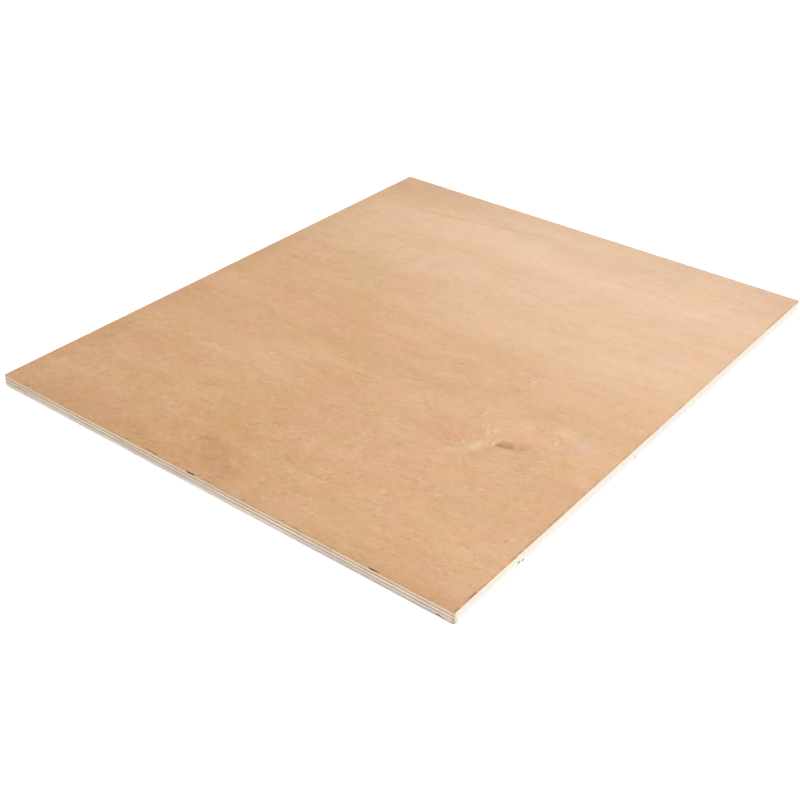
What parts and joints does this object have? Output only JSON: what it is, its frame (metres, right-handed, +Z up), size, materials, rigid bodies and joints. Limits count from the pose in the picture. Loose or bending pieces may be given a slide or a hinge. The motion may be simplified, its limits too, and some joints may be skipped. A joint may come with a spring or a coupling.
{
  "type": "plywood sheet",
  "caption": "Flat rectangular plywood panel, 600 x 500 x 12 mm, with a thin tan hardwood face over pale cross-laid plies that show as stripes on the sawn edges.",
  "frame": {"origin": "middle of the underside, where the panel lies on a level surface", "axes": "+X along the 600 mm side, +Y along the 500 mm side and the face grain, +Z up out of the better face"},
  "size_m": [0.6, 0.5, 0.012],
  "materials": {
    "face_veneer": "unfinished, fine sanded",
    "crossband": "sawn edge",
    "long_ply": "sawn edge",
    "back_veneer": "unfinished, sanded"
  },
  "bodies": {
    "root": {"face_veneer": "face_veneer", "crossband_1": "crossband", "long_ply_1": "long_ply", "crossband_2": "crossband", "core_ply": "long_ply", "crossband_3": "crossband", "long_ply_2": "long_ply", "crossband_4": "crossband", "back_veneer": "back_veneer"}
  },
  "joints": []
}
